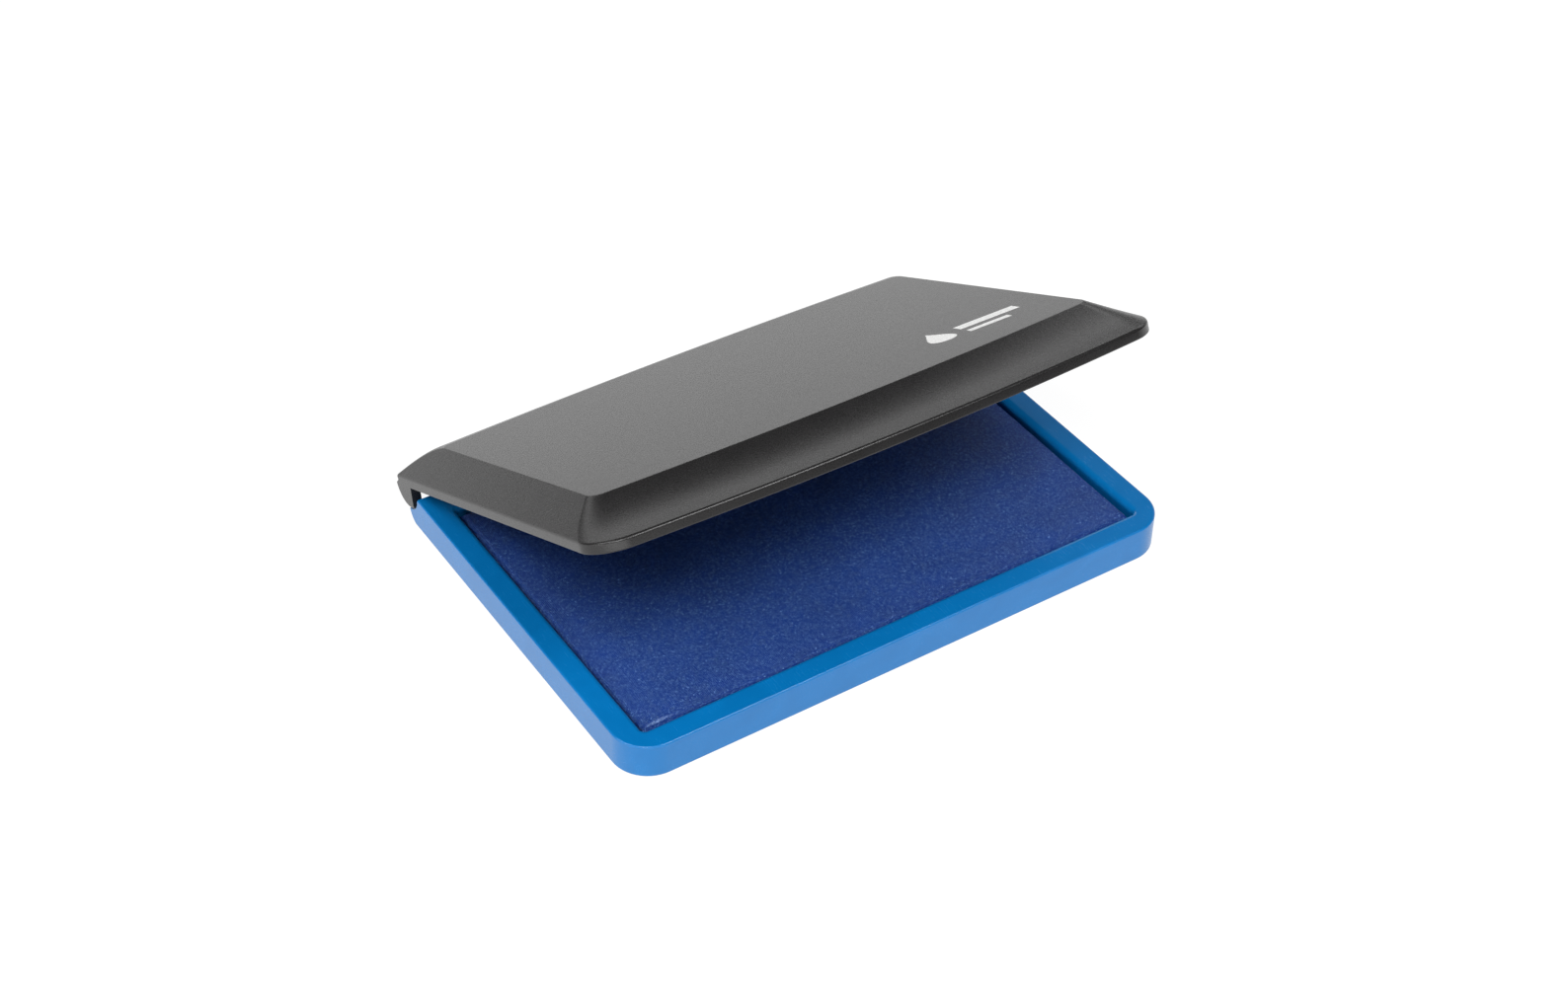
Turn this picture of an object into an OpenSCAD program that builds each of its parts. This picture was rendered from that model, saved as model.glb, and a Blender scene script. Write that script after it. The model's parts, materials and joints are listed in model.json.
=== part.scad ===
// Hinged ink pad: a shallow tray that holds a cloth-covered felt pad, and a bevelled lid
// that turns on two short steel pins behind the tray.
// X runs along the hinge, +Y points to the hinge side, +Z is up, millimetres.
// The origin is the centre of the tray's underside. The lid is drawn closed and then
// swung up about the hinge line by lid_open_deg, the angle it rests at.

/* [Tray] */
// Outside width of the tray, along the hinge
tray_w = 122; // [96:1:150]
// Depth of the tray's top face, front to back
tray_d = 83.2; // [66:0.2:104]
// Height of the tray's rim above the table
tray_h = 7.5; // [6.6:0.1:9.4]
// Width of the flat rim between the outside and the well, its rounded inner edge included
rim_w = 5.1; // [4.2:0.1:6.4]
// Width of the rim along the hinge side
rear_rim_w = 6.2; // [5.2:0.1:8]
// Plan radius of the two front corners
front_corner_r = 7.6; // [6:0.2:10]
// Rounding of the rim's outer top edge and of the foot
edge_r = 0.4; // [0.3:0.1:0.8]
// Rounding of the rim's inner edge, where it rolls over into the well
well_edge_r = 1.1; // [0.6:0.1:1.6]
// Plan radius of the well's corners
well_corner_r = 1; // [0.6:0.1:2]
// Thickness of the well's floor
floor_t = 1.4; // [1.1:0.1:1.8]
// Thickness of the outer skirt and of the well's own wall
skirt_t = 1.4; // [1.1:0.1:1.6]
// How far the heel under the hinge stands out behind the tray's top face
heel_out = 3.8; // [3:0.1:4.2]
// Rounding under the heel
heel_r = 3.5; // [2.5:0.1:4]
// Thickness of the stiffening webs under the rim
web_t = 1; // [0.8:0.1:1.4]

/* [Hinge] */
// Height of the hinge line above the rim's top face
hinge_up = 0.15; // [0.1:0.05:0.4]
// Radius of the lid's ears about the hinge line
ear_r = 4.6; // [3.8:0.1:5.2]
// Clearance between an ear and the hollow it turns in
ear_gap = 0.2; // [0.15:0.05:0.35]
// Thickness of an ear
ear_t = 2; // [1.6:0.1:2.6]
// Radius of the steel hinge pins
pin_r = 1; // [0.8:0.05:1.2]
// Radial clearance of a pin in the tray's lug
pin_gap = 0.05; // [0.02:0.01:0.1]
// Outer radius of the tray's hinge lugs
lug_r = 2.4; // [2.1:0.1:2.7]
// Width of a hinge lug along the hinge
lug_w = 4; // [3:0.5:6]
// Distance from the tray's side to the outer face of a lug
lug_in = 9.4; // [8.6:0.2:13]
// Side play between a lug and the lid's cheek beside it
lug_play = 0.3; // [0.2:0.05:0.5]
// Thickness of the lid's inner hinge cheeks
cheek_t = 2; // [1.6:0.1:2.6]
// How deep a pin sits in its blind hole in the ear
pin_seat = 1.2; // [0.8:0.1:1.4]

/* [Lid] */
// Angle between lid and tray with the lid at rest
lid_open_deg = 26.7; // [0:0.1:120]
// Gap between the closed lid's rim and the tray's rim
lid_gap = 0.15; // [0.1:0.05:0.4]
// How far the lid's rim stands out past the tray at the sides and the front corners
lid_over = 0.15; // [0:0.05:0.4]
// How far the lid's rim stands out behind the hinge line
lid_rear_out = 3.5; // [3:0.1:3.8]
// Height of the lid's upright rim band
band_h = 2.1; // [1.7:0.1:3]
// Rounding of the rim band's lower edge
foot_r = 0.3; // [0.2:0.05:0.5]
// Rounding between the rim band and the bevels
shoulder_r = 0.6; // [0.3:0.05:0.8]
// Rounding between the bevels and the top panel
crest_r = 0.35; // [0.2:0.05:0.8]
// Height of the bevels, from the rim band to the edge of the top panel
bevel_h = 4.85; // [3.6:0.05:5]
// How far the side bevels run in
side_bevel = 6.9; // [4.5:0.1:8]
// How far the front bevel runs in at the corners
front_bevel = 12.1; // [10:0.1:15]
// How far the rear bevel runs in
rear_bevel = 11.2; // [9:0.1:13]
// Hollow of the front bevel: 0 is flat, larger is more hollow
front_cove = 0.5; // [0.1:0.05:0.7]
// Fullness of the rear bevel: 0 is flat, larger is rounder
rear_fullness = 0.8; // [0.1:0.05:0.85]
// Outward bow of the lid's front edge at its middle, the grip for a fingertip
front_bow = 3.9; // [1:0.1:4.5]
// Outward bow of the top panel's front edge
panel_bow = 3.7; // [2:0.1:5.4]
// Outward bow of the top panel's rear edge
panel_rear_bow = 1.4; // [0:0.1:2.4]
// Crown of the top panel
crown = 0.35; // [0.1:0.05:0.45]
// Plan radius of the rim's front corners
band_corner_r = 6.6; // [5:0.2:9]
// Plan radius of the top panel's front corners
panel_corner_r = 2.3; // [1.5:0.1:5]
// Plan radius of the lid's rear corners
rear_corner_r = 0.8; // [0.6:0.1:2]
// Plan radius of the top panel's rear corners
panel_rear_r = 1.6; // [1.2:0.1:6]
// Rounding round an ear's outer edge
ear_edge_r = 0.5; // [0.2:0.1:0.8]
// Wall thickness of the rim band
band_t = 2; // [1.6:0.1:2.4]
// Wall thickness of the top panel and bevels, measured straight down
roof_t = 1.9; // [1.6:0.1:2.2]
// Thickness of the sealing lip
lip_t = 1.2; // [0.9:0.1:1.6]
// How far the sealing lip dips into the well when the lid is closed
lip_dip = 0.5; // [0.3:0.1:0.6]
// Clearance between the sealing lip and the wall of the well
lip_gap = 0.25; // [0.2:0.05:0.4]

/* [Pad] */
// Gap between the pad and the wall of the well
pad_gap = 0.8; // [0.5:0.1:1.2]
// How far the pad's surface lies below the rim
pad_drop = 0.9; // [0.8:0.1:1.4]
// Thickness of the cover cloth
cloth_t = 0.5; // [0.3:0.05:0.7]
// Rounding of the cloth over the felt's upper edges
cloth_edge_r = 0.8; // [0.5:0.1:1]
// Width of the hem folded under the felt
hem_w = 9; // [6:0.5:14]
// Thickness of the backing plate
plate_t = 0.8; // [0.6:0.1:1.1]
// Thickness of the adhesive strips that hold the pad down
tape_t = 0.2; // [0.15:0.05:0.3]
// Width of the adhesive strips
tape_w = 12; // [8:1:18]

/* [Hidden] */
$fn = 96;
x1 = tray_w / 2;
y1 = tray_d / 2;
pocket_r = ear_r + ear_gap;
hinge_y = y1 + pocket_r;
hinge_z = tray_h + hinge_up;
well_x = x1 - rim_w;
well_y0 = -y1 + rim_w;
well_y1 = y1 - rear_rim_w;
well_w = 2 * well_x;
well_d = well_y1 - well_y0;
well_yc = (well_y0 + well_y1) / 2;
heel_y = y1 + heel_out;
lug_x1 = x1 - lug_in;
lug_x0 = lug_x1 - lug_w;
cheek_x1 = lug_x0 - lug_play;
cheek_x0 = cheek_x1 - cheek_t;
pin_x0 = cheek_x0;
lid_x = x1 + lid_over;
ear_x = lid_x - ear_t;
pin_x1 = ear_x + pin_seat;
band_z0 = tray_h + lid_gap;
band_z1 = band_z0 + band_h;
lid_y0 = -y1 - lid_over;
lid_y1 = hinge_y + lid_rear_out;
window_side = lug_play + 0.1;
rear_cut_z = hinge_z + pin_r - 0.05;
pad_x = well_x - pad_gap;
pad_y0 = well_y0 + pad_gap;
pad_y1 = well_y1 - pad_gap;
pad_z1 = tray_h - pad_drop;
plate_z0 = floor_t + tape_t;
cloth_z0 = plate_z0 + plate_t;
corner_n = 12;
edge_n = 16;
bevel_n = 12;

// ---- shared shapes ----

// A block with rounded plan corners whose upright section is the child profile:
// the profile's X is the distance out from a corner centre, its Y is height.
module swept_block(w, d, r, z0, z1) {
    for (sx = [-1, 1], sy = [-1, 1])
        translate([sx * (w / 2 - r), sy * (d / 2 - r), 0])
            rotate_extrude() children();
    for (a = [0, 180])
        rotate([0, 0, a]) translate([w / 2 - r, d / 2 - r, 0])
            rotate([90, 0, 0]) linear_extrude(height = d - 2 * r) children();
    for (a = [90, 270])
        rotate([0, 0, a]) translate([d / 2 - r, w / 2 - r, 0])
            rotate([90, 0, 0]) linear_extrude(height = w - 2 * r) children();
    translate([-(w / 2 - r), -(d / 2 - r), z0]) cube([w - 2 * r, d - 2 * r, z1 - z0]);
}

// Rectangular bar with plan corners of radius r, from z0 to z1.
module round_bar(xa, xb, ya, yb, z0, z1, r) {
    translate([0, 0, z0]) linear_extrude(height = z1 - z0) {
        translate([xa + r, ya]) square([xb - xa - 2 * r, yb - ya]);
        translate([xa, ya + r]) square([xb - xa, yb - ya - 2 * r]);
        for (x = [xa + r, xb - r], y = [ya + r, yb - r]) translate([x, y]) circle(r);
    }
}

// A plate across the hinge: the child outline is (back from the hinge line, up from it).
module across(xa, xb) {
    translate([xa, hinge_y, hinge_z]) rotate([90, 0, 90]) linear_extrude(height = xb - xa) children();
}

// The same plate on the left and on the right.
module both_sides(xa, xb) {
    across(xa, xb) children();
    across(-xb, -xa) children();
}

// ---- tray ----

// Upright section of the tray's edge, rounded at the top and at the foot.
module edge_profile() {
    square([front_corner_r - edge_r, tray_h]);
    translate([0, edge_r]) square([front_corner_r, tray_h - 2 * edge_r]);
    for (z = [edge_r, tray_h - edge_r]) translate([front_corner_r - edge_r, z]) circle(edge_r);
}

// Section of the well's mouth: the wall below, rolling outwards at the top.
module mouth_profile() {
    square([well_corner_r, tray_h + 1]);
    difference() {
        translate([0, tray_h - well_edge_r]) square([well_corner_r + well_edge_r, well_edge_r + 1]);
        translate([well_corner_r + well_edge_r, tray_h - well_edge_r]) circle(well_edge_r);
    }
}

module tray_body() {
    long = tray_d + 60;
    intersection() {
        translate([0, 30, 0]) swept_block(tray_w, long, front_corner_r, 0, tray_h) edge_profile();
        translate([-x1 - 1, 0, 0]) rotate([90, 0, 90]) linear_extrude(height = tray_w + 2) {
            translate([-y1 - 5, 0]) square([y1 + 5 + heel_y - heel_r, tray_h]);
            translate([-y1 - 5, heel_r]) square([y1 + 5 + heel_y, tray_h - heel_r]);
            translate([heel_y - heel_r, heel_r]) circle(heel_r);
        }
    }
}

// Hollow under the rim, open to the table, between the skirt and the well's wall.
module rim_hollow() {
    inner = well_x + skirt_t;
    roof = tray_h - well_edge_r - 0.9;
    difference() {
        round_bar(-x1 + skirt_t, x1 - skirt_t, -y1 + skirt_t, well_y1 + skirt_t + 2.2, -1, roof,
                  front_corner_r - skirt_t);
        translate([-inner, well_y0 - skirt_t, -2])
            cube([2 * inner, well_y1 - well_y0 + 2 * skirt_t, tray_h + 4]);
        for (x = [-x1 / 2, 0, x1 / 2])
            translate([x - web_t / 2, -y1, -2]) cube([web_t, 2 * y1, tray_h + 4]);
        for (y = [-y1 / 2, 0, y1 / 2])
            translate([-x1, y - web_t / 2, -2]) cube([tray_w, web_t, tray_h + 4]);
    }
}

module lug_outline() {
    circle(lug_r);
    polygon([[-pocket_r - 0.6, -hinge_z + 1.6], [-pocket_r - 0.6, -1.1], [-lug_r * 0.9, -0.1], [0, 0],
             [lug_r * 0.7071, -lug_r * 0.7071], [heel_y - hinge_y - 0.35, -hinge_z + 1.9]]);
}

module tray() {
    color([0.01, 0.42, 0.76]) difference() {
        union() {
            difference() {
                tray_body();
                across(-x1 - 1, x1 + 1) circle(pocket_r);
            }
            both_sides(lug_x0, lug_x1) lug_outline();
        }
        translate([0, well_yc, 0]) intersection() {
            swept_block(well_w, well_d, well_corner_r, 0, tray_h + 1) mouth_profile();
            translate([-x1, -y1, floor_t]) cube([tray_w, tray_d, tray_h]);
        }
        rim_hollow();
        both_sides(lug_x0 - 1, lug_x1 + 1) circle(pin_r + pin_gap);
    }
}

// ---- lid, drawn closed ----

function mix(a, b, t) = a + (b - a) * t;
// A bevel of hollow c climbs (1 - c) u + c u^2 of its height over the share u of its run. It is flat
// where c is 0, hollow above 0 and full below 0. run_at(h, c) is the share of the run at height share h.
function climb(u, c) = (1 - c) * u + c * u * u;
function run_at(h, c) = c == 0 ? h : (-(1 - c) + sqrt((1 - c) * (1 - c) + 4 * c * h)) / (2 * c);
// Height shares of the rows on a bevel, closer together near the panel.
function share(k) = (k / bevel_n + sin(90 * k / bevel_n)) / 2;

// Section of the lid's edge, as [run-in, height over the foot]: rounded foot, upright band, rounded
// shoulder, bevel, rounded crest.
function edge_path(run, c) = let(
    a = atan(bevel_h / run * (1 - c)),
    b = atan(bevel_h / run * (1 + c)),
    low = shoulder_r * tan((90 - a) / 2),
    high = crest_r * tan(b / 2),
    h0 = low * sin(a) / bevel_h,
    h1 = climb(1 - high * cos(b) / run, c))
    concat(
        [for (q = [0:30:90]) foot_r * [1 - sin(q), 1 - cos(q)]],
        [for (i = [0:5]) let(q = (90 - a) * i / 5)
            [shoulder_r * (1 - cos(q)), band_h - low + shoulder_r * sin(q)]],
        [for (k = [1:bevel_n - 1]) let(h = mix(h0, h1, share(k)))
            [run * run_at(h, c), band_h + bevel_h * h]],
        [for (i = [0:3]) let(q = b * (1 - i / 3))
            [run + high - crest_r * sin(q), band_h + bevel_h - crest_r * (1 - cos(q))]]);

function arc_pts(cx, cy, r, a0, za, zb) = [for (i = [0:corner_n]) let(a = a0 + 90 * i / corner_n)
    [cx + r * cos(a), cy + r * sin(a), mix(za, zb, i / corner_n)]];
function row(xa, xb, y, z) = [for (i = [1:edge_n - 1]) [mix(xa, xb, i / edge_n), y, z]];
// Moves the points of an edge of half width hw out by the bow b and up by the crown c at its middle.
function bowed(points, hw, b, c) = [for (p = points) let(k = 1 - p[0] * p[0] / (hw * hw))
    [p[0], p[1] + b * k, p[2] + c * k]];
// One closed ring of the lid, anticlockwise from the front left corner. side, front and rear are the
// [run-in, height] there; t is the part of the run-in that is an even offset all round.
function ring(side, front, rear, t, c) = let(
    hw = lid_x - side[0],
    yf = lid_y0 + front[0],
    yb = lid_y1 - rear[0],
    gf = (front[0] - t) / (front_bevel - t),
    gr = (rear[0] - t) / (rear_bevel - t),
    rf = mix(band_corner_r - t, panel_corner_r, gf),
    rr = mix(max(rear_corner_r - t, 0.3), panel_rear_r, gr),
    bf = mix(front_bow, panel_bow, gf),
    br = mix(0, panel_rear_bow, gr))
    concat(
        bowed(concat(arc_pts(-hw + rf, yf + rf, rf, 180, side[1], front[1]),
                     row(-hw + rf, hw - rf, yf, front[1]),
                     arc_pts(hw - rf, yf + rf, rf, 270, front[1], side[1])), hw, -bf, c),
        bowed(concat(arc_pts(hw - rr, yb - rr, rr, 0, side[1], rear[1]),
                     row(hw - rr, -hw + rr, yb, rear[1]),
                     arc_pts(-hw + rr, yb - rr, rr, 90, rear[1], side[1])), hw, br, c));

// Solid lofted through a stack of such rings; all rings have the same number of points.
module loft(rings) {
    n = len(rings[0]);
    m = n / 2;
    k = len(rings);
    top = (k - 1) * n;
    walls = [for (j = [0:k - 2], i = [0:n - 1]) let(a = j * n + i, b = j * n + (i + 1) % n)
        each [[a, a + n, b + n], [a, b + n, b]]];
    roof = [for (i = [0:m - 2]) let(a = top + i, b = top + i + 1, c = top + n - 1 - i)
        each [[a, c, c - 1], [a, c - 1, b]]];
    polyhedron(points = [for (r = rings) each r], faces = concat([[for (i = [0:n - 1]) i]], walls, roof),
               convexity = 6);
}

module lid_outside() {
    side = edge_path(side_bevel, 0);
    front = edge_path(front_bevel, front_cove);
    rear = edge_path(rear_bevel, -rear_fullness);
    translate([0, 0, band_z0]) loft([for (j = [0:len(side) - 1])
        ring(side[j], front[j], rear[j], j < 4 ? side[j][0] : 0,
             crown * max(0, side[j][1] - band_h) / bevel_h)]);
}

// The hollow inside: the same shape run in by the wall thickness.
module lid_inside() {
    z0 = band_h + 0.35 - roof_t;
    rise = bevel_h - 0.35;
    t = band_t;
    translate([0, 0, band_z0]) loft(concat([ring([t, -1], [t, -1], [t, -1], t, 0)],
        [for (h = [0:1 / 6:1.001]) let(z = z0 + rise * h)
            ring([mix(t, side_bevel, h), z], [mix(t, front_bevel, run_at(h, front_cove)), z],
                 [mix(t, rear_bevel, run_at(h, -rear_fullness)), z], t, crown * h)]));
}

// Lip that closes over the pad and enters the well's mouth.
module lid_lip() {
    w = well_x - lip_gap;
    z0 = tray_h - lip_dip;
    z1 = band_z1 + bevel_h;
    difference() {
        round_bar(-w, w, well_y0 + lip_gap, well_y1 - lip_gap, z0, z1, well_corner_r);
        translate([-w + lip_t, well_y0 + lip_gap + lip_t, z0 - 1])
            cube([2 * (w - lip_t), well_d - 2 * (lip_gap + lip_t), z1 - z0 + 2]);
    }
}

// An ear: a disc about the hinge line with its outer edge rounded, cut to a flat front face.
module ear() {
    e = ear_edge_r;
    intersection() {
        translate([lid_x, hinge_y, hinge_z]) rotate([0, -90, 0]) rotate_extrude() {
            square([ear_r - e, ear_t]);
            translate([0, e]) square([ear_r, ear_t - e]);
            translate([ear_r - e, e]) circle(e);
        }
        across(ear_x - 1, lid_x + 1)
            polygon([[-2.85, 0], [-1.1, -5.2], [5.4, -5.2], [ear_r - 0.05, 0.3],
                     [lid_rear_out - rear_corner_r, 1.2], [-2.85, 1.2]]);
    }
}

module cheek_outline() {
    circle(lug_r - 0.2);
    translate([-lug_r + 0.2, 0]) square([lug_r + 1, 3.4]);
}

module lid_closed() {
    difference() {
        union() {
            difference() {
                lid_outside();
                difference() {
                    lid_inside();
                    lid_lip();
                    both_sides(cheek_x0, cheek_x1) cheek_outline();
                    both_sides(ear_x, lid_x) translate([-3, -3]) square([8, 10]);
                }
                translate([-ear_x, hinge_y - 1.5, band_z0 - 1])
                    cube([2 * ear_x, 8, rear_cut_z - band_z0 + 1]);
                both_sides(lug_x0 - window_side, lug_x1 + window_side)
                    translate([-lug_r - 1.2, -3]) square([12, 14]);
            }
            intersection() {
                lid_lip();
                translate([-x1, -y1, 0]) cube([tray_w, 2 * tray_d, band_z0 + 0.4]);
            }
            both_sides(cheek_x0, cheek_x1) circle(lug_r - 0.2);
            for (m = [0, 1]) mirror([m, 0, 0]) ear();
            both_sides(ear_x - 1.4, ear_x) circle(pin_r + 0.9);
        }
        both_sides(cheek_x0 - 1, pin_x1) circle(pin_r);
    }
}

module swung() {
    translate([0, hinge_y, hinge_z]) rotate([-lid_open_deg, 0, 0])
        translate([0, -hinge_y, -hinge_z]) children();
}

module lid() {
    color([0.27, 0.26, 0.27]) swung() lid_closed();
}

module hinge_pin(side) {
    color([0.75, 0.76, 0.78])
        across(side < 0 ? -pin_x1 : pin_x0, side < 0 ? -pin_x0 : pin_x1) circle(pin_r);
}

// ---- pad ----

module tape(y0) {
    color([0.9, 0.88, 0.8]) translate([-pad_x + 6, y0, floor_t]) cube([2 * pad_x - 12, tape_w, tape_t]);
}

module backing_plate() {
    color([0.85, 0.85, 0.86])
        round_bar(-pad_x, pad_x, pad_y0, pad_y1, plate_z0, cloth_z0, 0.6);
}

// Felt block; a step under its edge makes room for the folded hem.
module felt() {
    t = cloth_t;
    color([0.12, 0.17, 0.42]) {
        translate([-pad_x + t, pad_y0 + t, cloth_z0 + t])
            cube([2 * (pad_x - t), pad_y1 - pad_y0 - 2 * t, pad_z1 - cloth_z0 - 2 * t]);
        translate([-pad_x + t + hem_w, pad_y0 + t + hem_w, cloth_z0])
            cube([2 * (pad_x - t - hem_w), pad_y1 - pad_y0 - 2 * (t + hem_w), 2 * t]);
    }
}

// Section of the covered pad's edge with the cloth rounded over the top.
module cloth_profile() {
    r = cloth_edge_r;
    square([1 - r + 0.2, pad_z1]);
    square([1.2, pad_z1 - r]);
    translate([1.2 - r, pad_z1 - r]) circle(r);
}

// Cover cloth: stretched over the felt, down its sides, and folded under as a hem.
module cloth() {
    color([0.16, 0.26, 0.55]) difference() {
        translate([0, (pad_y0 + pad_y1) / 2, 0]) intersection() {
            swept_block(2 * pad_x, pad_y1 - pad_y0, 1.2, 0, pad_z1) cloth_profile();
            translate([-x1, -y1, cloth_z0]) cube([tray_w, tray_d, tray_h]);
        }
        felt();
    }
}

// ---- choose ----

tray();
lid();
hinge_pin(-1);  // hinge_pin_left
hinge_pin(1);  // hinge_pin_right
tape(pad_y0 + 3);  // pad_tape_front
tape(pad_y1 - 3 - tape_w);  // pad_tape_rear
backing_plate();  // pad_backing_plate
felt();  // pad_felt
cloth();  // pad_cloth
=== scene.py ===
# %% [markdown]
# # A hinged ink pad
# The object is a blue moulded tray with an inked felt pad under a stretched cover cloth, and a dark grey
# lid that turns on two steel pins behind the tray. The exact solids come from CAD and stay as they are.
# Blender adds what CAD does not have: the finish of each plastic, the cloth, the light and the camera.
# Everything is in metres, in the CAD frame: X along the hinge, Y to the hinge side, Z up.

# %% Load the frame
import json
import math
import bmesh
import bpy
import numpy as np
from mathutils import Matrix, Vector

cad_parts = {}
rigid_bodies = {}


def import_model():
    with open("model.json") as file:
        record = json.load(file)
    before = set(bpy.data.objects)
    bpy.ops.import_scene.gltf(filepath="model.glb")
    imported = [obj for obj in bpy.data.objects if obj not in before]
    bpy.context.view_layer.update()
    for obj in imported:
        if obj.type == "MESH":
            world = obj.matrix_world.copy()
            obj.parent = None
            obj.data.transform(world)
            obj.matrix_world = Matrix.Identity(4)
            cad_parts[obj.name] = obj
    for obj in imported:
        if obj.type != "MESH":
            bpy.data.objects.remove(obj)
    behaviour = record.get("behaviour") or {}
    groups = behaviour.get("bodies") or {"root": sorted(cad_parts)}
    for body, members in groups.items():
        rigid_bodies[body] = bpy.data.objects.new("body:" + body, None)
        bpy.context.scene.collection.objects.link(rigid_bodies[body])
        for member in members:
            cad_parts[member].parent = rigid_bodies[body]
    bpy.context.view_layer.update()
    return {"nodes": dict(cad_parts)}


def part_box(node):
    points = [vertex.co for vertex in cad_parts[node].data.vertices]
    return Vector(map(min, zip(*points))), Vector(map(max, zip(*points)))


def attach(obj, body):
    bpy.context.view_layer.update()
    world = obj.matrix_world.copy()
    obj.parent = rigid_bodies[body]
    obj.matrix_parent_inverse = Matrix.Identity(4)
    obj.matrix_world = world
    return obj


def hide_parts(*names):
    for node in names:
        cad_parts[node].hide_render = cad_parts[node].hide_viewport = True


for leftover in list(bpy.data.objects):
    bpy.data.objects.remove(leftover)
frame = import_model()
MM = 0.001

# %% [markdown]
# ## The camera
# A product camera stands left of the middle and about forty degrees above the table, half a metre away.
# A long lens keeps the long edges nearly parallel. The small roll is what a hand-set tripod head has.
# The place is worked out from a target on the tray, two angles and a distance, which are easier to
# read and to change than three coordinates.

# %% Camera from target, angles and distance
SHOT_TARGET = Vector((5.89, 12.30, 0.0)) * MM
SHOT_AZIMUTH, SHOT_ELEVATION, SHOT_ROLL = map(math.radians, (-33.59, 40.07, 0.78))
SHOT_DISTANCE = 514.44 * MM


def towards(azimuth, elevation):
    """Unit vector from the object to a place at that compass angle and height angle."""
    flat = math.cos(elevation)
    return Vector((math.sin(azimuth) * flat, -math.cos(azimuth) * flat, math.sin(elevation)))


camera_data = bpy.data.cameras.new("product_camera")
camera_data.lens = 58.56
camera_data.sensor_width = 36.0
camera_data.clip_start = 0.01
camera = bpy.data.objects.new("product_camera", camera_data)
bpy.context.scene.collection.objects.link(camera)
view_dir = towards(SHOT_AZIMUTH, SHOT_ELEVATION)
aim = (-view_dir).to_track_quat("-Z", "Y").to_matrix().to_4x4()
camera.matrix_world = (Matrix.Translation(SHOT_TARGET + view_dir * SHOT_DISTANCE)
                       @ aim @ Matrix.Rotation(SHOT_ROLL, 4, "Z"))
bpy.context.scene.camera = camera
print("camera at, mm", [round(c / MM, 1) for c in camera.matrix_world.translation])

# %% [markdown]
# ## Small helpers for node trees
# Every finish below is a tree of procedural nodes, and small helpers keep those trees readable. One makes
# a node and sets its values. One starts a material with a Principled shader and the piece's own
# coordinates. The others do arithmetic, noise, a change of range and a blend of colours, and the last puts
# a finish on a CAD piece. A piece has its object at the origin, so its coordinates are metres in the frame.

# %% Node helpers
def node(tree, kind, inputs=None, **settings):
    """A new node of that kind; inputs maps a socket's name or number to a value or to another socket."""
    made = tree.nodes.new("ShaderNode" + kind)
    for name, value in settings.items():
        setattr(made, name, value)
    for name, value in (inputs or {}).items():
        if isinstance(value, bpy.types.NodeSocket):
            tree.links.new(value, made.inputs[name])
        else:
            made.inputs[name].default_value = value
    return made


def new_finish(name):
    """An empty node material: its tree, its Principled shader and the piece's own coordinates."""
    material = bpy.data.materials.new(name)
    material.use_nodes = True
    tree = material.node_tree
    tree.nodes.clear()
    shader = node(tree, "BsdfPrincipled")
    node(tree, "OutputMaterial", {"Surface": shader.outputs[0]})
    place = node(tree, "TexCoord").outputs["Object"]
    return material, tree, shader, place


def maths(tree, operation, a, b=0.0, c=0.0):
    """One arithmetic step between sockets or numbers."""
    return node(tree, "Math", {0: a, 1: b, 2: c}, operation=operation).outputs[0]


def noise(tree, place, size, detail=2.0, roughness=0.5, distortion=0.0):
    """Noise whose blotches are about size metres across."""
    return node(tree, "TexNoise", {"Vector": place, "Scale": 1.0 / size, "Detail": detail,
                                   "Roughness": roughness, "Distortion": distortion}).outputs[0]


def remap(tree, value, low, high, to_low, to_high, smooth=False):
    """value from low..high stretched to to_low..to_high and kept inside it."""
    kind = "SMOOTHSTEP" if smooth else "LINEAR"
    return node(tree, "MapRange", {0: value, 1: low, 2: high, 3: to_low, 4: to_high},
                interpolation_type=kind, clamp=True).outputs[0]


def blend_colours(tree, share, first, second):
    """first where share is 0, second where it is 1."""
    mix = node(tree, "Mix", {0: share}, data_type="RGBA")
    for socket, colour in ((mix.inputs[6], first), (mix.inputs[7], second)):
        if isinstance(colour, bpy.types.NodeSocket):
            tree.links.new(colour, socket)
        else:
            socket.default_value = (*colour, 1.0)
    return mix.outputs[2]


def wear(name, material):
    """Puts the finish on a CAD node, in place of the material that model.glb gave it."""
    slots = frame["nodes"][name].data.materials
    slots.clear()
    slots.append(material)


# %% [markdown]
# ## Floor and light
# The set is a white table lit from below, so that the object throws hardly any shadow. Three softboxes
# stand in an arc from the right front round to the left, high enough to light the pad and the tray's rim.
# The room is dark except for two lit stretches. A narrow one stands behind, at the height that a tilted
# glossy bevel mirrors, and the dark around it gives that reflection an edge. A broad low one stands at the
# front left, and lights the walls that face it. The camera itself sees plain white all round.

# %% White table
floor_mesh = bpy.data.meshes.new("table_top")
TABLE_R, TABLE_TOP, TABLE_CORNERS = 3.0, -0.0001, 96
turns = np.linspace(0, 2 * math.pi, TABLE_CORNERS + 1)[:-1]
rim = [(TABLE_R * math.cos(a), TABLE_R * math.sin(a), TABLE_TOP) for a in turns]
floor_mesh.from_pydata(rim, [], [list(range(len(rim)))])
floor = bpy.data.objects.new("table_top", floor_mesh)
bpy.context.scene.collection.objects.link(floor)
table_finish, tree, shader, place = new_finish("white_acrylic_table")
shader.inputs["Base Color"].default_value = (0.16, 0.16, 0.16, 1)
shader.inputs["Roughness"].default_value = 0.7
shader.inputs["Specular IOR Level"].default_value = 0.0
shader.inputs["Emission Color"].default_value = (1, 1, 1, 1)
shader.inputs["Emission Strength"].default_value = 0.90
floor_mesh.materials.append(table_finish)
print("table radius, m", TABLE_R)

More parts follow.
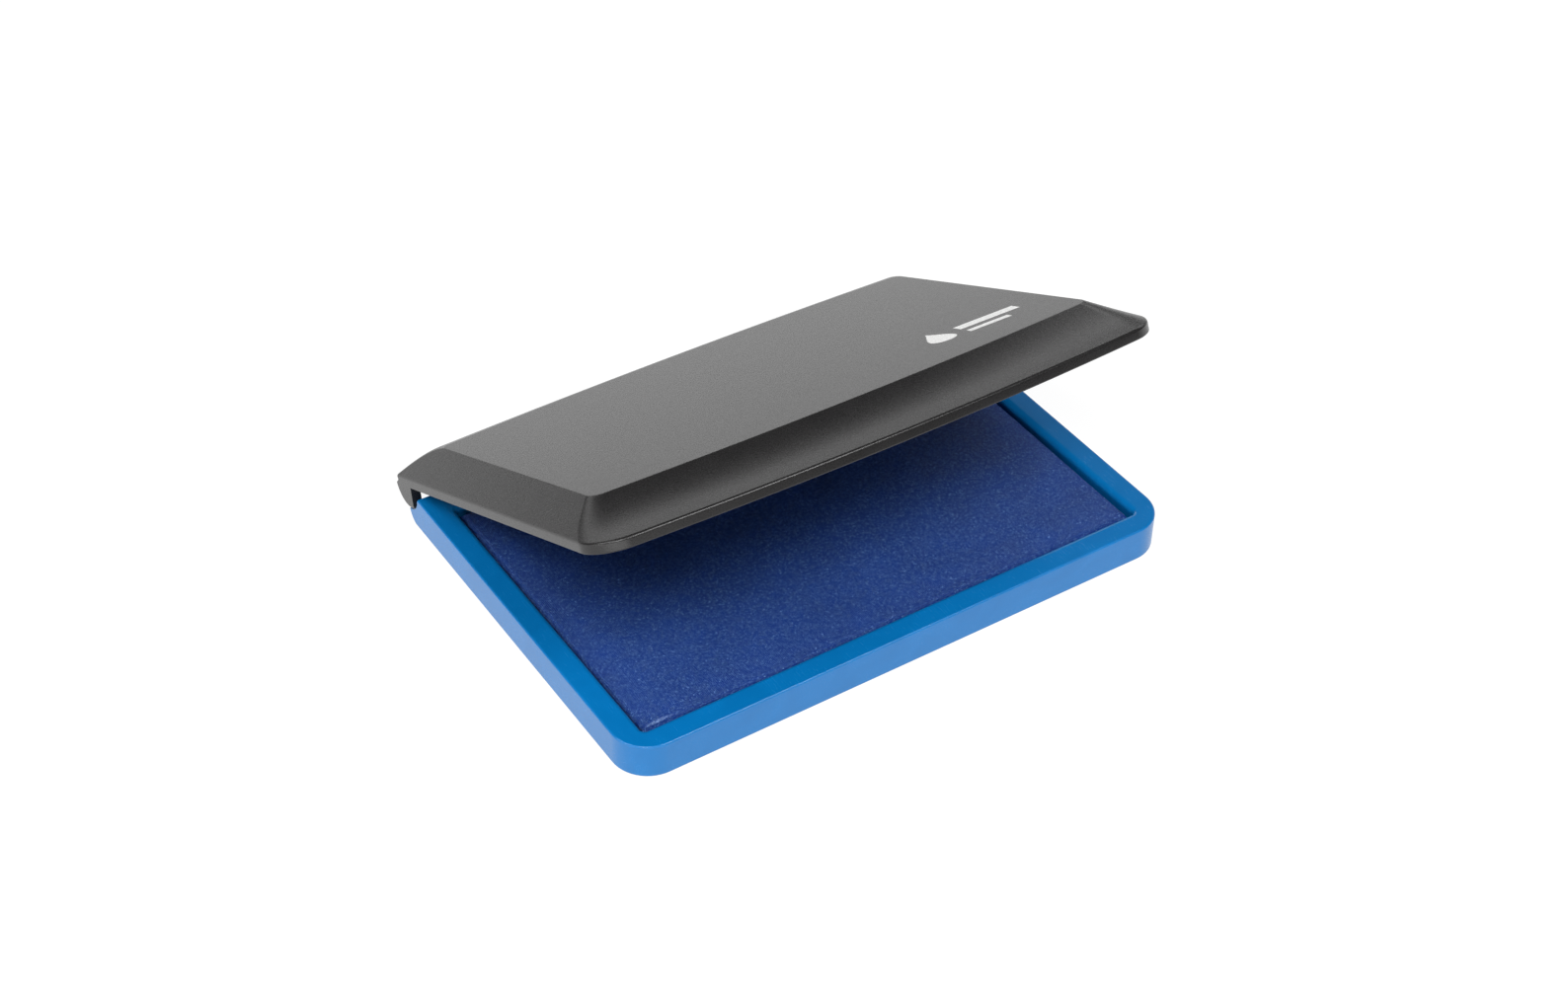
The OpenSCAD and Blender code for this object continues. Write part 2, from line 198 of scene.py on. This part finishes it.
# %% Backdrop
backdrop = bpy.data.worlds.new("studio_backdrop")
backdrop.use_nodes = True
tree = backdrop.node_tree
tree.nodes.clear()
direction = node(tree, "TexCoord").outputs["Generated"]
height = node(tree, "SeparateXYZ", {0: direction}).outputs[2]


def panel_of_light(low, high, way, strength, soft=0.07):
    """A soft-edged lit stretch of the backdrop between two heights, on the side that way points to."""
    rise = remap(tree, height, low - soft, low + soft, 0.0, 1.0, smooth=True)
    fall = remap(tree, height, high - soft, high + soft, 1.0, 0.0, smooth=True)
    side = node(tree, "VectorMath", {0: direction, 1: way}, operation="DOT_PRODUCT").outputs["Value"]
    facing = remap(tree, side, 0.3, 0.85, 0.0, 1.0, smooth=True)
    lit = maths(tree, "MULTIPLY", rise, maths(tree, "MULTIPLY", fall, facing))
    return maths(tree, "MULTIPLY", lit, strength)


DARK_ROOM, BACK_LIGHT, FRONT_LIGHT = 0.04, 2.1, 2.9
behind = panel_of_light(0.27, 0.48, (0.45, 0.89, 0.0), BACK_LIGHT)
before = panel_of_light(-0.2, 0.28, (-0.77, -0.64, 0.0), FRONT_LIGHT)
level = maths(tree, "ADD", maths(tree, "ADD", behind, before), DARK_ROOM)
looking = node(tree, "LightPath").outputs["Is Camera Ray"]
unseen = maths(tree, "MULTIPLY", level, maths(tree, "SUBTRACT", 1.0, looking))
level = maths(tree, "ADD", unseen, looking)
glow = node(tree, "Background", {"Strength": level})
glow.inputs["Color"].default_value = (1.0, 1.0, 1.0, 1.0)
node(tree, "OutputWorld", {"Surface": glow.outputs[0]})
bpy.context.scene.world = backdrop
bpy.context.scene.view_settings.view_transform = "Standard"
print("backdrop: back", BACK_LIGHT, "front", FRONT_LIGHT, "elsewhere", DARK_ROOM)


# %% Softboxes
def softbox(name, azimuth, elevation, distance, width, glow_strength):
    """A square lamp that looks at the tray, as bright per square metre as asked."""
    data = bpy.data.lights.new(name, "AREA")
    data.shape = "SQUARE"
    data.size = width
    data.energy = glow_strength * math.pi * width * width
    lamp = bpy.data.objects.new(name, data)
    bpy.context.scene.collection.objects.link(lamp)
    way = towards(math.radians(azimuth), math.radians(elevation))
    facing_in = way.to_track_quat("Z", "Y").to_matrix().to_4x4()
    lamp.matrix_world = Matrix.Translation(way * distance) @ facing_in
    return lamp


LAMP_AWAY = 1.4
softbox("key_softbox", 28, 57, LAMP_AWAY, 0.52, 10.5)
softbox("front_left_softbox", -42, 54, LAMP_AWAY, 0.55, 9.5)
softbox("left_softbox", -100, 52, LAMP_AWAY, 0.75, 4.2)

# %% [markdown]
# ## Clean shading on the mouldings
# CAD hands over triangles with their own shading data, which shows as facets on the lid's curved bevels.
# A small node tree joins the triangles again and shades them smooth, but keeps each edge sharper than
# thirty-two degrees. A weighted-normal step after it keeps the large flat faces flat.

# %% Smoothing node tree
CRISP = math.radians(32)
WELD = 0.002 * MM
smoothing = bpy.data.node_groups.new("smooth_moulding", "GeometryNodeTree")
for way_in_out in ("INPUT", "OUTPUT"):
    smoothing.interface.new_socket("Geometry", in_out=way_in_out, socket_type="NodeSocketGeometry")
group_in = smoothing.nodes.new("NodeGroupInput")
group_out = smoothing.nodes.new("NodeGroupOutput")
weld = smoothing.nodes.new("GeometryNodeMergeByDistance")
weld.inputs["Distance"].default_value = WELD
forget = smoothing.nodes.new("GeometryNodeRemoveAttribute")
forget.inputs["Name"].default_value = "custom_normal"
round_faces = smoothing.nodes.new("GeometryNodeSetShadeSmooth")
round_edges = smoothing.nodes.new("GeometryNodeSetShadeSmooth")
round_edges.domain = "EDGE"
crisp_edges = smoothing.nodes.new("GeometryNodeSetShadeSmooth")
crisp_edges.domain = "EDGE"
crisp_edges.inputs["Shade Smooth"].default_value = False
turn = smoothing.nodes.new("GeometryNodeInputMeshEdgeAngle")
is_crisp = smoothing.nodes.new("FunctionNodeCompare")
is_crisp.operation = "GREATER_THAN"
is_crisp.inputs[1].default_value = CRISP
smoothing.links.new(turn.outputs[0], is_crisp.inputs[0])
smoothing.links.new(is_crisp.outputs[0], crisp_edges.inputs["Selection"])
chain = [group_in, weld, forget, round_faces, round_edges, crisp_edges, group_out]
for earlier, later in zip(chain, chain[1:]):
    smoothing.links.new(earlier.outputs[0], later.inputs[0])

for name in ("lid", "tray", "hinge_pin_left", "hinge_pin_right", "pad_felt"):
    piece = frame["nodes"][name]
    piece.modifiers.new("smooth", "NODES").node_group = smoothing
    flat = piece.modifiers.new("flat_faces", "WEIGHTED_NORMAL")
    flat.keep_sharp = True
    flat.weight = 80
    print(name, "vertices", len(piece.data.vertices))

# %% [markdown]
# ## Lid plastic
# The lid is moulded in a spark-eroded tool: a dark grey plastic with a fine even grain that breaks up
# reflections. The grain is bump at a third of a millimetre. Handling polishes the corners a little, so
# the finish gets smoother there, and the corners are painted lighter, partly worn plastic and partly a
# painted highlight; the edge mask compares a rounded normal with the true one.

# %% Edge mask
def edge_mask(tree, radius, low=0.02, high=0.25):
    """1 on the corners of a piece, 0 on its flats: how far a normal rounded over radius leans away."""
    rounded = node(tree, "Bevel", {"Radius": radius}, samples=6).outputs[0]
    true = node(tree, "NewGeometry").outputs["Normal"]
    lean = node(tree, "VectorMath", {0: rounded, 1: true}, operation="DOT_PRODUCT").outputs["Value"]
    return remap(tree, maths(tree, "SUBTRACT", 1.0, lean), low, high, 0.0, 1.0)


# %% Lid finish
lid_finish, tree, shader, place = new_finish("lid_grained_plastic")
GRAIN = 0.32 * MM
grain = noise(tree, place, GRAIN, detail=4.0, roughness=0.7)
mottle = noise(tree, place, 7 * MM, detail=4.0, roughness=0.6)
edge_highlight_mask = edge_mask(tree, 0.35 * MM)
edge_wear_and_highlight = maths(tree, "MULTIPLY", edge_highlight_mask, remap(tree, noise(tree, place, 3 * MM), 0.4, 0.6, 0.3, 1.0))
DARK_GREY, LIGHT_GREY = (0.0105, 0.0100, 0.0103), (0.0140, 0.0134, 0.0137)
plain = blend_colours(tree, remap(tree, mottle, 0.3, 0.7, 0.0, 1.0), DARK_GREY, LIGHT_GREY)
# Painted highlight and wear: the corners are painted a lighter grey.
lid_colour = blend_colours(tree, maths(tree, "MULTIPLY", edge_wear_and_highlight, 0.5), plain, (0.05, 0.049, 0.05))
grained = maths(tree, "MULTIPLY_ADD", grain, 0.12, 0.22)
lid_rough = maths(tree, "SUBTRACT", grained, maths(tree, "MULTIPLY", edge_wear_and_highlight, 0.08))
grain_bump = node(tree, "Bump", {"Height": grain, "Strength": 0.55, "Distance": 0.04 * MM})
tree.links.new(grain_bump.outputs[0], shader.inputs["Normal"])
wear("lid", lid_finish)
print("lid grain, mm", GRAIN / MM)

# %% [markdown]
# ## Generic print on the lid
# A maker prints its mark in white on the front right of the top panel. This part has a plain ink drop
# with two bars instead. It is drawn by arithmetic in the lid's finish: the piece's coordinates are turned
# back by the lid's opening angle about the hinge, which gives distances along the panel.

# %% Ink drop and two bars
OPEN = math.radians(26.7)
HINGE_Y, HINGE_Z = 46.4 * MM, 7.65 * MM
from_hinge = node(tree, "VectorMath", {0: place, 1: (0, HINGE_Y, HINGE_Z)}, operation="SUBTRACT").outputs[0]


def along(tree, way):
    """Distance from the hinge line in that direction, in millimetres."""
    part = node(tree, "VectorMath", {0: from_hinge, 1: way}, operation="DOT_PRODUCT").outputs["Value"]
    return maths(tree, "DIVIDE", part, MM)


across = along(tree, (1, 0, 0))
back = maths(tree, "ADD", along(tree, (0, math.cos(OPEN), -math.sin(OPEN))), HINGE_Y / MM)
above = maths(tree, "ADD", along(tree, (0, math.sin(OPEN), math.cos(OPEN))), HINGE_Z / MM)


def band(tree, value, low, high, soft=0.05):
    """1 between low and high, 0 outside, with an edge that is soft millimetres wide."""
    rise = remap(tree, value, low - soft, low + soft, 0.0, 1.0)
    fall = remap(tree, value, high - soft, high + soft, 1.0, 0.0)
    return maths(tree, "MULTIPLY", rise, fall)


def bar(tree, left, right, front, rear):
    """A plain printed bar between those four edges, in millimetres."""
    return maths(tree, "MULTIPLY", band(tree, across, left, right), band(tree, back, front, rear))


DROP_X, DROP_FRONT, DROP_LONG, DROP_WIDE = 27.6, -21.0, 8.8, 9.0
LONG_BAR, SHORT_BAR = (32.8, 46.8, -17.3, -14.5), (32.8, 42.4, -20.9, -19.2)
PANEL_LOW, PANEL_HIGH = 14.0, 16.5
down = remap(tree, back, DROP_FRONT, DROP_FRONT + DROP_LONG, 1.0, 0.0)
pointed = maths(tree, "POWER", down, 1.5)
rounded_off = maths(tree, "SQRT", maths(tree, "SUBTRACT", 1.0, down))
swell = maths(tree, "MULTIPLY", pointed, rounded_off)
half = maths(tree, "MULTIPLY", swell, DROP_WIDE)
aside = maths(tree, "ABSOLUTE", maths(tree, "SUBTRACT", across, DROP_X))
drop = remap(tree, maths(tree, "SUBTRACT", half, aside), 0.0, 0.1, 0.0, 1.0)
bars = maths(tree, "MAXIMUM", bar(tree, *LONG_BAR), bar(tree, *SHORT_BAR))
on_panel = band(tree, above, PANEL_LOW, PANEL_HIGH)
printed = maths(tree, "MULTIPLY", maths(tree, "MAXIMUM", drop, bars), on_panel)
specks = remap(tree, noise(tree, place, 0.15 * MM, detail=2.0), 0.30, 0.42, 0.75, 1.0)
printed = maths(tree, "MULTIPLY", printed, specks)
colour = blend_colours(tree, printed, lid_colour, (0.80, 0.80, 0.79))
tree.links.new(colour, shader.inputs["Base Color"])
tree.links.new(lid_rough, shader.inputs["Roughness"])
print("print on the panel, mm", round(DROP_X - 0.33 * DROP_WIDE, 1), "to", LONG_BAR[1])

# %% [markdown]
# ## Tray plastic
# The tray is polished polypropylene in one bright blue. Real mouldings are never one flat colour: the
# pigment flows in soft streaks, the skin has a faint orange peel, and fine scratches from handling make
# some places duller. The edges are painted a lighter blue, a painted highlight.

# %% Tray finish
tray_finish, tree, shader, place = new_finish("tray_blue_plastic")
STREAK = 11 * MM
flow = noise(tree, place, STREAK, detail=3.0, distortion=1.2)
DEEP_BLUE, BRIGHT_BLUE = (0.0008, 0.150, 0.425), (0.0014, 0.166, 0.465)
streaky = blend_colours(tree, remap(tree, flow, 0.3, 0.7, 0, 1), DEEP_BLUE, BRIGHT_BLUE)
edge_highlight_mask = edge_mask(tree, 0.3 * MM)
# Painted highlight: the edges are painted a lighter blue.
colour = blend_colours(tree, maths(tree, "MULTIPLY", edge_highlight_mask, 0.25), streaky, (0.03, 0.29, 0.62))
tree.links.new(colour, shader.inputs["Base Color"])
peel = noise(tree, place, 1.3 * MM, detail=2.0)
stretched = node(tree, "Mapping", {"Vector": place, "Scale": (1.0, 0.06, 1.0)}).outputs[0]
scratches = remap(tree, noise(tree, stretched, 0.12 * MM, detail=2.0), 0.55, 0.75, 0.0, 1.0)
dull = maths(tree, "MULTIPLY", scratches, remap(tree, flow, 0.35, 0.65, 0.0, 0.10))
tray_rough = maths(tree, "ADD", dull, maths(tree, "MULTIPLY_ADD", peel, 0.06, 0.21))
tree.links.new(tray_rough, shader.inputs["Roughness"])
skin = node(tree, "Bump", {"Height": peel, "Strength": 0.10, "Distance": 0.02 * MM})
tree.links.new(skin.outputs[0], shader.inputs["Normal"])
wear("tray", tray_finish)
print("tray streaks, mm", round(STREAK / MM, 1))

# %% [markdown]
# ## Hinge pins
# Each pin is a short piece of drawn steel wire. Drawing leaves fine lines along the wire, so the
# roughness and the bump are noise stretched along X, and a little dark oil stays in them.

# %% Pin finish
pin_finish, tree, shader, place = new_finish("pin_drawn_steel")
drawn = node(tree, "Mapping", {"Vector": place, "Scale": (0.05, 1.0, 1.0)}).outputs[0]
lines = noise(tree, drawn, 0.08 * MM, detail=3.0)
stain = noise(tree, place, 0.6 * MM, detail=2.0)
colour = blend_colours(tree, remap(tree, stain, 0.4, 0.7, 0, 1), (0.60, 0.60, 0.61), (0.42, 0.41, 0.40))
tree.links.new(colour, shader.inputs["Base Color"])
shader.inputs["Metallic"].default_value = 1.0
tree.links.new(maths(tree, "MULTIPLY_ADD", lines, 0.25, 0.18), shader.inputs["Roughness"])
ridges = node(tree, "Bump", {"Height": lines, "Strength": 0.2, "Distance": 0.01 * MM})
tree.links.new(ridges.outputs[0], shader.inputs["Normal"])
for name in ("hinge_pin_left", "hinge_pin_right"):
    wear(name, pin_finish)
print("pins finished")

# %% [markdown]
# ## What lies under the pad
# Two strips of double-sided tape hold a white plastic sheet on the tray's floor, and the felt lies on the
# sheet. They hardly show, but somebody may take the pad apart, so each has its own finish: crinkled
# paper tape, smooth sheet with ink stains, and felt made of matted fibres full of ink.

# %% Tape, sheet and felt finishes
tape_finish, tree, shader, place = new_finish("double_sided_tape")
rolled_out = node(tree, "Mapping", {"Vector": place, "Scale": (1.0, 0.25, 1.0)}).outputs[0]
crinkle = noise(tree, rolled_out, 0.7 * MM, detail=4.0)
colour = blend_colours(tree, crinkle, (0.62, 0.55, 0.42), (0.78, 0.74, 0.62))
tree.links.new(colour, shader.inputs["Base Color"])
tree.links.new(maths(tree, "MULTIPLY_ADD", crinkle, 0.3, 0.35), shader.inputs["Roughness"])
creases = node(tree, "Bump", {"Height": crinkle, "Strength": 0.4, "Distance": 0.05 * MM})
tree.links.new(creases.outputs[0], shader.inputs["Normal"])
wear("pad_tape_front", tape_finish)
wear("pad_tape_rear", tape_finish)

sheet_finish, tree, shader, place = new_finish("backing_sheet_plastic")
stains = remap(tree, noise(tree, place, 9 * MM, detail=5.0, distortion=1.0), 0.50, 0.68, 0.0, 0.85)
colour = blend_colours(tree, stains, (0.66, 0.67, 0.69), (0.04, 0.09, 0.33))
tree.links.new(colour, shader.inputs["Base Color"])
tree.links.new(maths(tree, "MULTIPLY_ADD", stains, 0.2, 0.35), shader.inputs["Roughness"])
rolling = noise(tree, place, 1.0 * MM, detail=2.0)
roll = node(tree, "Bump", {"Height": rolling, "Strength": 0.1, "Distance": 0.02 * MM})
tree.links.new(roll.outputs[0], shader.inputs["Normal"])
wear("pad_backing_plate", sheet_finish)

felt_finish, tree, shader, place = new_finish("inked_felt")
HAIR = 0.35 * MM
hairs = noise(tree, place, HAIR, detail=5.0, roughness=0.65, distortion=2.5)
colour = blend_colours(tree, remap(tree, hairs, 0.4, 0.65, 0, 1), (0.010, 0.022, 0.11), (0.035, 0.07, 0.26))
tree.links.new(colour, shader.inputs["Base Color"])
tree.links.new(maths(tree, "MULTIPLY_ADD", hairs, -0.3, 1.0), shader.inputs["Roughness"])
matted = node(tree, "Bump", {"Height": hairs, "Strength": 0.8, "Distance": 0.15 * MM})
tree.links.new(matted.outputs[0], shader.inputs["Normal"])
shader.inputs["Sheen Weight"].default_value = 0.15
wear("pad_felt", felt_finish)
print("felt hairs, mm", round(HAIR / MM, 2))

# %% [markdown]
# ## The pad's cover cloth
# A finely woven cloth is stretched over the felt and folded under it, where the backing sheet holds its
# hem. The CAD cover is a smooth box of the right size; here it becomes cloth. A finely divided box is
# blown up a little with Blender's cloth simulation while its walls and underside stay pinned, so the top
# swells between firm edges as soaked felt makes it do. The movement is capped, because the cloth is tight.
# The simulation runs on a copy ten times larger, where the solver works best, and is scaled back.

# %% Cover: a fine box at ten times its size
GROW = 10.0
low, high = (Vector(c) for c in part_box("pad_cloth"))
print("cover box, mm", [round(c / MM, 2) for c in (*low, *high)])


def even(start, end, step, edge, fine):
    """Positions from start to end, fine steps within edge of both ends and step between them."""
    ends = np.arange(0, edge, fine)
    inner = np.linspace(start + edge, end - edge, int(round((end - start - 2 * edge) / step)) + 1)
    return np.concatenate([start + ends, inner, (end - ends)[::-1]])


EDGE_R, SKIN, HEM = 0.85 * MM, 0.42 * MM, 8.5 * MM
CELL, RIM, FINE = 1.0 * MM, 1.2 * MM, 0.2 * MM
xs = even(low.x, high.x, CELL, RIM, FINE)
ys = even(low.y, high.y, CELL, RIM, FINE)
wall = np.linspace(low.z, high.z - RIM, 5)
brim = np.linspace(high.z - RIM, high.z, 7)
zs = np.concatenate([wall, brim[1:]])


def grid_faces(mesh, rows):
    """Adds a quad sheet through rows of points; points that coincide are joined later."""
    made = [[mesh.verts.new(p) for p in row] for row in rows]
    for one, two in zip(made, made[1:]):
        for a, b, c, d in zip(one, one[1:], two[1:], two):
            mesh.faces.new((a, b, c, d))


cover = bmesh.new()
grid_faces(cover, [[(x, y, high.z) for x in xs] for y in ys])
grid_faces(cover, [[(x, low.y, z) for x in xs] for z in zs])
grid_faces(cover, [[(x, high.y, z) for x in reversed(xs)] for z in zs])
grid_faces(cover, [[(low.x, y, z) for y in reversed(ys)] for z in zs])
grid_faces(cover, [[(high.x, y, z) for y in ys] for z in zs])
for y0, y1 in zip(ys, ys[1:]):
    for x0, x1 in zip(xs, xs[1:]):
        if x1 < low.x + HEM or x0 > high.x - HEM or y1 < low.y + HEM or y0 > high.y - HEM:
            corners = ((x0, y0), (x0, y1), (x1, y1), (x1, y0))
            cover.faces.new([cover.verts.new((x, y, low.z)) for x, y in corners])
bmesh.ops.remove_doubles(cover, verts=cover.verts, dist=0.01 * MM)
core_low, core_high = low + Vector((EDGE_R,) * 3), high - Vector((EDGE_R,) * 3)
for v in cover.verts:
    if v.co.z > core_high.z:
        core_x = min(max(v.co.x, core_low.x), core_high.x)
        core_y = min(max(v.co.y, core_low.y), core_high.y)
        near = Vector((core_x, core_y, core_high.z))
        v.co = near + (v.co - near).normalized() * EDGE_R
bmesh.ops.recalc_face_normals(cover, faces=cover.faces)
cover_mesh = bpy.data.meshes.new("pad_cover")
cover.to_mesh(cover_mesh)
cover.free()
rest_shape = np.array([v.co[:] for v in cover_mesh.vertices])
print("cover vertices", len(rest_shape))

# %% Cover: simulated swelling
pad_cover = bpy.data.objects.new("pad_cover", cover_mesh)
bpy.context.scene.collection.objects.link(pad_cover)
SWELL_CAP, FREE_TOP, SETTLE_FRAMES = 0.22 * MM, 1.0 * MM, 20
cover_mesh.vertices.foreach_set("co", (rest_shape * GROW).ravel())
held = pad_cover.vertex_groups.new(name="held")
held.add([i for i, p in enumerate(rest_shape) if p[2] < high.z - FREE_TOP], 1.0, "REPLACE")
cloth = pad_cover.modifiers.new("cloth", "CLOTH")
cloth.settings.use_pressure = True
cloth.settings.uniform_pressure_force = 4.0
cloth.settings.vertex_group_mass = "held"
cloth.settings.quality = 6
cloth.settings.tension_stiffness = 40
cloth.settings.compression_stiffness = 40
cloth.settings.shear_stiffness = 20
cloth.settings.bending_stiffness = 2
cloth.settings.effector_weights.gravity = 0.0
cloth.point_cache.frame_start, cloth.point_cache.frame_end = 1, SETTLE_FRAMES
for step in range(1, SETTLE_FRAMES + 1):
    bpy.context.scene.frame_set(step)
settled = pad_cover.evaluated_get(bpy.context.evaluated_depsgraph_get()).to_mesh()
blown = np.array([v.co[:] for v in settled.vertices]) / GROW
pad_cover.modifiers.remove(cloth)
pad_cover.vertex_groups.remove(held)
moved = blown - rest_shape
far = np.linalg.norm(moved, axis=1, keepdims=True)
print("cloth moved, mm, mean and most", round(float(far.mean()) / MM, 3), round(float(far.max()) / MM, 3))
moved *= SWELL_CAP * np.tanh(far / SWELL_CAP) / np.maximum(far, 1e-9)
bpy.context.scene.frame_set(1)
cover_mesh.vertices.foreach_set("co", (rest_shape + moved).ravel())
cover_mesh.update()

# %% [markdown]
# ## Creases and thickness of the cover
# A cloth pulled by hand is not even: it pulls a shallow fold near a corner and waves slightly along its
# edges. The fold is a ridge that fades at both ends. The sheet then gets its thickness inwards, so the
# outside keeps its size and the felt still fits inside.

# %% Fold at the front left corner and slight waves
shape = np.array([v.co[:] for v in cover_mesh.vertices])
x, y, z = shape.T
on_top = np.clip((z - (high.z - 1.3 * MM)) / (0.6 * MM), 0, 1)
broad = np.sin(x / (6.3 * MM) + 0.4) * np.sin(y / (8.1 * MM) + 1.0)
slanting = np.sin(x / (2.9 * MM) - y / (4.4 * MM))
wave = 0.05 * broad + 0.03 * slanting
edge_near = np.minimum.reduce([x - low.x, high.x - x, y - low.y, high.y - y])
wave *= np.clip(edge_near / (3 * MM), 0, 1)
FOLD_X, FOLD_Y = low.x + 4.2 * MM, low.y + 0.9 * MM
FOLD_LONG, FOLD_WIDE, FOLD_HIGH = 3.2 * MM, 0.55 * MM, 0.32
ridge = FOLD_HIGH * np.exp(-((x - FOLD_X) / FOLD_LONG) ** 2 - ((y - FOLD_Y) / FOLD_WIDE) ** 2)
shape[:, 2] += on_top * (wave + ridge) * MM
cover_mesh.vertices.foreach_set("co", shape.ravel())
cover_mesh.polygons.foreach_set("use_smooth", [True] * len(cover_mesh.polygons))
thick = pad_cover.modifiers.new("cloth_thickness", "SOLIDIFY")
thick.thickness, thick.offset = SKIN, -1.0
thick.use_even_offset = False
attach(pad_cover, "tray")
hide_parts("pad_cloth")
print("cover top, mm", round(float(shape[:, 2].max()) / MM, 2))

# %% [markdown]
# ## Inked cloth
# The weave is fine and plain, a third of a millimetre from thread to thread, soaked with dark blue ink.
# Loose fibres lie on it as short curly flecks, painted light: partly their own pale colour, partly a
# painted glint. Small light dots on them are painted glints. Threads are two crossed waves, bent a little
# by noise;
# flecks are thin contour lines of a distorted noise, present only in places. Where the cloth is pulled into
# its fold, it is frayed and has lost some ink.

# %% Cloth finish
cloth_finish, tree, shader, place = new_finish("inked_woven_cloth")
BEND = 0.6 * MM
bend = node(tree, "TexNoise", {"Vector": place, "Scale": 1 / (2.5 * MM), "Detail": 2.0}).outputs["Color"]
bent = node(tree, "VectorMath", {0: bend, 1: (BEND,) * 3, 2: place}, operation="MULTIPLY_ADD").outputs[0]
parts = node(tree, "SeparateXYZ", {0: bent})
THREAD = 0.34 * MM


def threads(tree, position):
    """Rounded ridges, one to a thread."""
    return maths(tree, "ABSOLUTE", maths(tree, "SINE", maths(tree, "MULTIPLY", position, math.pi / THREAD)))


warp = threads(tree, parts.outputs[0])
weft = threads(tree, parts.outputs[1])
weave = maths(tree, "MULTIPLY", maths(tree, "ADD", warp, weft), 0.5)
fibre = noise(tree, bent, 0.42 * MM, detail=4.0, roughness=0.65, distortion=1.6)
line = maths(tree, "ABSOLUTE", maths(tree, "SUBTRACT", fibre, 0.5))
curl = remap(tree, line, 0.0, 0.030, 1.0, 0.0)
where = remap(tree, noise(tree, place, 0.7 * MM, detail=4.0), 0.44, 0.62, 0.0, 1.0)
fibre_fleck_and_glint = maths(tree, "MULTIPLY", curl, where)
wet = noise(tree, place, 8 * MM, detail=4.0)
ink = blend_colours(tree, remap(tree, wet, 0.3, 0.7, 0, 1), (0.0019, 0.021, 0.145), (0.0040, 0.035, 0.220))
ink = blend_colours(tree, remap(tree, weave, 0.35, 0.85, 0.0, 0.6), ink, (0.008, 0.056, 0.30))
# Flecks painted light: partly the fibres' own colour, partly a painted glint.
colour = blend_colours(tree, maths(tree, "MULTIPLY", fibre_fleck_and_glint, 0.9), ink, (0.14, 0.33, 0.80))
# Painted glints: small light dots mixed into the cloth's colour.
glint_noise = noise(tree, place, 0.30 * MM, detail=3.0, roughness=0.7, distortion=1.0)
painted_glints = remap(tree, glint_noise, 0.585, 0.66, 0.0, 1.0)
colour = blend_colours(tree, maths(tree, "MULTIPLY", painted_glints, 0.75), colour, (0.22, 0.42, 0.88))
FRAY_AT = (low.x + 3.4 * MM, low.y + 0.7 * MM, high.z)
FRAY_SHRINK = (0.30 / MM, 3.2 / MM, 0.2 / MM)
spot = node(tree, "VectorMath", {0: place, 1: FRAY_AT}, operation="SUBTRACT").outputs[0]
spot = node(tree, "VectorMath", {0: spot, 1: FRAY_SHRINK}, operation="MULTIPLY").outputs[0]
apart = node(tree, "VectorMath", {0: spot}, operation="LENGTH").outputs["Value"]
torn = remap(tree, fibre, 0.40, 0.60, 0.0, 0.6)
frayed = maths(tree, "MULTIPLY", remap(tree, apart, 0.4, 1.1, 1.0, 0.0), torn)
colour = blend_colours(tree, frayed, colour, (0.28, 0.42, 0.72))
tree.links.new(colour, shader.inputs["Base Color"])
tree.links.new(remap(tree, wet, 0.3, 0.7, 0.40, 0.62), shader.inputs["Roughness"])
shader.inputs["Specular IOR Level"].default_value = 0.28
relief = maths(tree, "ADD", weave, maths(tree, "MULTIPLY", fibre_fleck_and_glint, 0.6))
raised = node(tree, "Bump", {"Height": relief, "Strength": 0.9, "Distance": 0.12 * MM})
tree.links.new(raised.outputs[0], shader.inputs["Normal"])
shader.inputs["Sheen Weight"].default_value = 0.04
shader.inputs["Sheen Roughness"].default_value = 0.4
cover_mesh.materials.append(cloth_finish)
wear("pad_cloth", cloth_finish)
print("thread, mm", THREAD / MM)
